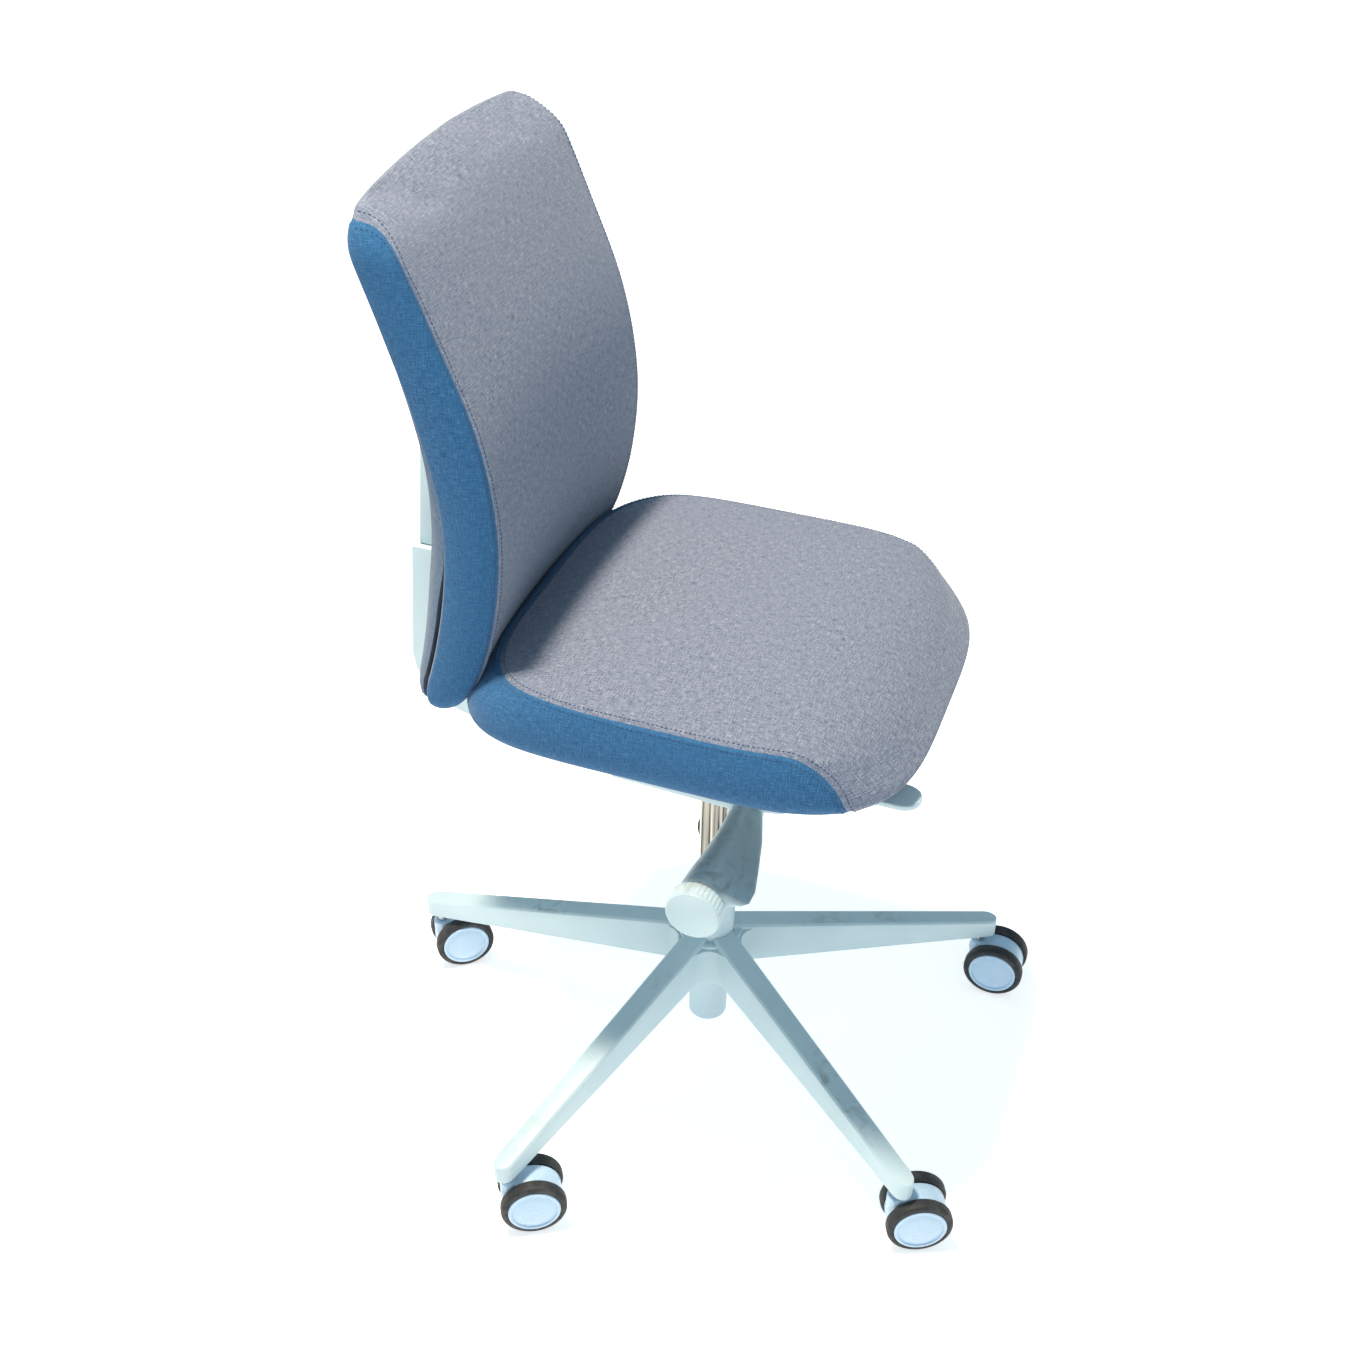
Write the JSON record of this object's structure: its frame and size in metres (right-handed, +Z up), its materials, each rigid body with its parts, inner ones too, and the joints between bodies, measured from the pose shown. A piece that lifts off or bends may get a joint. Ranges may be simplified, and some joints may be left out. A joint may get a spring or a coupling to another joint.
{
  "type": "swivel office chair",
  "caption": "Swivel task chair on a five-arm caster base, with gas lift, tilt mechanism, side paddle and knob, padded seat and curved padded back.",
  "frame": {"origin": "on the floor, below the middle of the chair's overall box; the column's axis stands 12.6 mm in front of it", "axes": "+Z up, the sitter faces -Y, +X is the sitter's left"},
  "size_m": [0.6542, 0.654, 0.972],
  "materials": {
    "white_plastic": "fine satin, off-white",
    "white_metal": "satin powder coat, off-white",
    "caster_plastic": "smooth white",
    "tyre": "soft black tread",
    "steel": "zinc plated",
    "chrome": "polished",
    "black_plastic": "fine grain",
    "grey_plastic": "satin",
    "main_fabric": "heathered blue-grey weave",
    "side_fabric": "mid-blue weave"
  },
  "bodies": {
    "base": {"star_base": "white_plastic", "column_tube": "white_metal", "piston_rod": "steel", "guide_bush": "black_plastic"},
    "caster_1": {"caster_hood_1": "caster_plastic", "caster_stem_1": "steel", "caster_axle_1": "steel"},
    "caster_1_left": {"caster_wheel_left_1": "caster_plastic", "caster_tyre_left_1": "tyre"},
    "caster_1_right": {"caster_wheel_right_1": "caster_plastic", "caster_tyre_right_1": "tyre"},
    "caster_2": {"caster_hood_2": "caster_plastic", "caster_stem_2": "steel", "caster_axle_2": "steel"},
    "caster_2_left": {"caster_wheel_left_2": "caster_plastic", "caster_tyre_left_2": "tyre"},
    "caster_2_right": {"caster_wheel_right_2": "caster_plastic", "caster_tyre_right_2": "tyre"},
    "caster_3": {"caster_hood_3": "caster_plastic", "caster_stem_3": "steel", "caster_axle_3": "steel"},
    "caster_3_left": {"caster_wheel_left_3": "caster_plastic", "caster_tyre_left_3": "tyre"},
    "caster_3_right": {"caster_wheel_right_3": "caster_plastic", "caster_tyre_right_3": "tyre"},
    "caster_4": {"caster_hood_4": "caster_plastic", "caster_stem_4": "steel", "caster_axle_4": "steel"},
    "caster_4_left": {"caster_wheel_left_4": "caster_plastic", "caster_tyre_left_4": "tyre"},
    "caster_4_right": {"caster_wheel_right_4": "caster_plastic", "caster_tyre_right_4": "tyre"},
    "caster_5": {"caster_hood_5": "caster_plastic", "caster_stem_5": "steel", "caster_axle_5": "steel"},
    "caster_5_left": {"caster_wheel_left_5": "caster_plastic", "caster_tyre_left_5": "tyre"},
    "caster_5_right": {"caster_wheel_right_5": "caster_plastic", "caster_tyre_right_5": "tyre"},
    "lift": {"gas_cylinder": "chrome"},
    "valve": {"valve_pin": "steel"},
    "mechanism": {"mechanism_housing": "white_plastic", "tilt_axle": "steel", "recline_axle": "steel", "tension_spring": "steel"},
    "paddle": {"height_paddle": "white_plastic", "knob_collar": "grey_plastic"},
    "knob": {"tension_knob": "white_plastic"},
    "carrier": {"seat_carrier": "black_plastic", "slide_rail_left": "steel", "slide_rail_right": "steel"},
    "seat": {"seat_pan": "black_plastic", "seat_cushion": "main_fabric"},
    "depth_lever": {"depth_lever": "white_plastic"},
    "arm": {"back_arm": "white_plastic", "back_upright": "white_plastic"},
    "height_button": {"back_height_button": "grey_plastic"},
    "back": {"back_slider": "black_plastic", "back_panel": "side_fabric", "back_cushion": "main_fabric"}
  },
  "joints": [
    {"name": "caster_1_swivel", "type": "hinge", "parent": "base", "child": "caster_1", "pos_m": [0, 0.3054, 0.07], "axis": [0, 0, 1], "continuous": true},
    {"name": "caster_1_left_roll", "type": "hinge", "parent": "caster_1", "child": "caster_1_left", "pos_m": [0.01293, 0.28885, 0.0325], "axis": [0.788, 0.6157, 0], "continuous": true},
    {"name": "caster_1_right_roll", "type": "hinge", "parent": "caster_1", "child": "caster_1_right", "pos_m": [0.01293, 0.28885, 0.0325], "axis": [0.788, 0.6157, 0], "continuous": true},
    {"name": "caster_2_swivel", "type": "hinge", "parent": "base", "child": "caster_2", "pos_m": [-0.30244, 0.08567, 0.07], "axis": [0, 0, 1], "continuous": true},
    {"name": "caster_2_left_roll", "type": "hinge", "parent": "caster_2", "child": "caster_2_left", "pos_m": [-0.29194, 0.06748, 0.0325], "axis": [0.866, 0.5, 0], "continuous": true},
    {"name": "caster_2_right_roll", "type": "hinge", "parent": "caster_2", "child": "caster_2_right", "pos_m": [-0.29194, 0.06748, 0.0325], "axis": [0.866, 0.5, 0], "continuous": true},
    {"name": "caster_3_swivel", "type": "hinge", "parent": "base", "child": "caster_3", "pos_m": [-0.18692, -0.26987, 0.07], "axis": [0, 0, 1], "continuous": true},
    {"name": "caster_3_left_roll", "type": "hinge", "parent": "caster_3", "child": "caster_3_left", "pos_m": [-0.17804, -0.2889, 0.0325], "axis": [0.9063, 0.4226, 0], "continuous": true},
    {"name": "caster_3_right_roll", "type": "hinge", "parent": "caster_3", "child": "caster_3_right", "pos_m": [-0.17804, -0.2889, 0.0325], "axis": [0.9063, 0.4226, 0], "continuous": true},
    {"name": "caster_4_swivel", "type": "hinge", "parent": "base", "child": "caster_4", "pos_m": [0.18692, -0.26987, 0.07], "axis": [0, 0, 1], "continuous": true},
    {"name": "caster_4_left_roll", "type": "hinge", "parent": "caster_4", "child": "caster_4_left", "pos_m": [0.18728, -0.29086, 0.0325], "axis": [0.9998, 0.0175, 0], "continuous": true},
    {"name": "caster_4_right_roll", "type": "hinge", "parent": "caster_4", "child": "caster_4_right", "pos_m": [0.18728, -0.29086, 0.0325], "axis": [0.9998, 0.0175, 0], "continuous": true},
    {"name": "caster_5_swivel", "type": "hinge", "parent": "base", "child": "caster_5", "pos_m": [0.30244, 0.08567, 0.07], "axis": [0, 0, 1], "continuous": true},
    {"name": "caster_5_left_roll", "type": "hinge", "parent": "caster_5", "child": "caster_5_left", "pos_m": [0.30061, 0.06475, 0.0325], "axis": [0.9962, -0.0872, 0], "continuous": true},
    {"name": "caster_5_right_roll", "type": "hinge", "parent": "caster_5", "child": "caster_5_right", "pos_m": [0.30061, 0.06475, 0.0325], "axis": [0.9962, -0.0872, 0], "continuous": true},
    {"name": "height_slide", "type": "slide", "parent": "base", "child": "lift", "axis": [0, 0, 1], "range_m": [-0.11, 0]},
    {"name": "seat_swivel", "type": "hinge", "parent": "lift", "child": "mechanism", "pos_m": [0, -0.0126, 0.4], "axis": [0, 0, 1], "continuous": true},
    {"name": "valve_press", "type": "slide", "parent": "lift", "child": "valve", "axis": [0, 0, -1], "range_m": [0, 0.0045]},
    {"name": "paddle_lift", "type": "hinge", "parent": "mechanism", "child": "paddle", "pos_m": [0, -0.0636, 0.378], "axis": [-1, 0, 0], "range_deg": [0, 6], "stiffness_Nm_per_rad": 4, "springref_deg": -17.19},
    {"name": "tension_turn", "type": "hinge", "parent": "mechanism", "child": "knob", "pos_m": [0, -0.0636, 0.378], "axis": [-1, 0, 0], "range_deg": [-720, 720]},
    {"name": "back_recline", "type": "hinge", "parent": "mechanism", "child": "arm", "pos_m": [0, 0.0594, 0.404], "axis": [-1, 0, 0], "range_deg": [0, 18], "stiffness_Nm_per_rad": 80, "springref_deg": -20.05},
    {"name": "seat_tilt", "type": "hinge", "parent": "mechanism", "child": "carrier", "pos_m": [0, -0.0876, 0.43], "axis": [-1, 0, 0], "range_deg": [0, 7.4]},
    {"name": "seat_depth", "type": "slide", "parent": "carrier", "child": "seat", "axis": [0, -1, 0], "range_m": [0, 0.05]},
    {"name": "depth_lever_lift", "type": "hinge", "parent": "seat", "child": "depth_lever", "pos_m": [-0.108, -0.1646, 0.477], "axis": [-1, 0, 0], "range_deg": [0, 8], "stiffness_Nm_per_rad": 0.5, "springref_deg": -22.92},
    {"name": "back_height", "type": "slide", "parent": "arm", "child": "back", "axis": [0, -0.0797, 0.9968], "range_m": [0, 0.06]},
    {"name": "height_button_press", "type": "slide", "parent": "arm", "child": "height_button", "axis": [0, -1, 0], "range_m": [0, 0.003], "stiffness_N_per_m": 300, "springref_m": -0.003}
  ],
  "couplings": [
    {"joint": "seat_tilt", "follows": "back_recline", "ratio": 0.4},
    {"joint": "valve_press", "follows": "paddle_lift", "m_per_rad": 0.04}
  ]
}
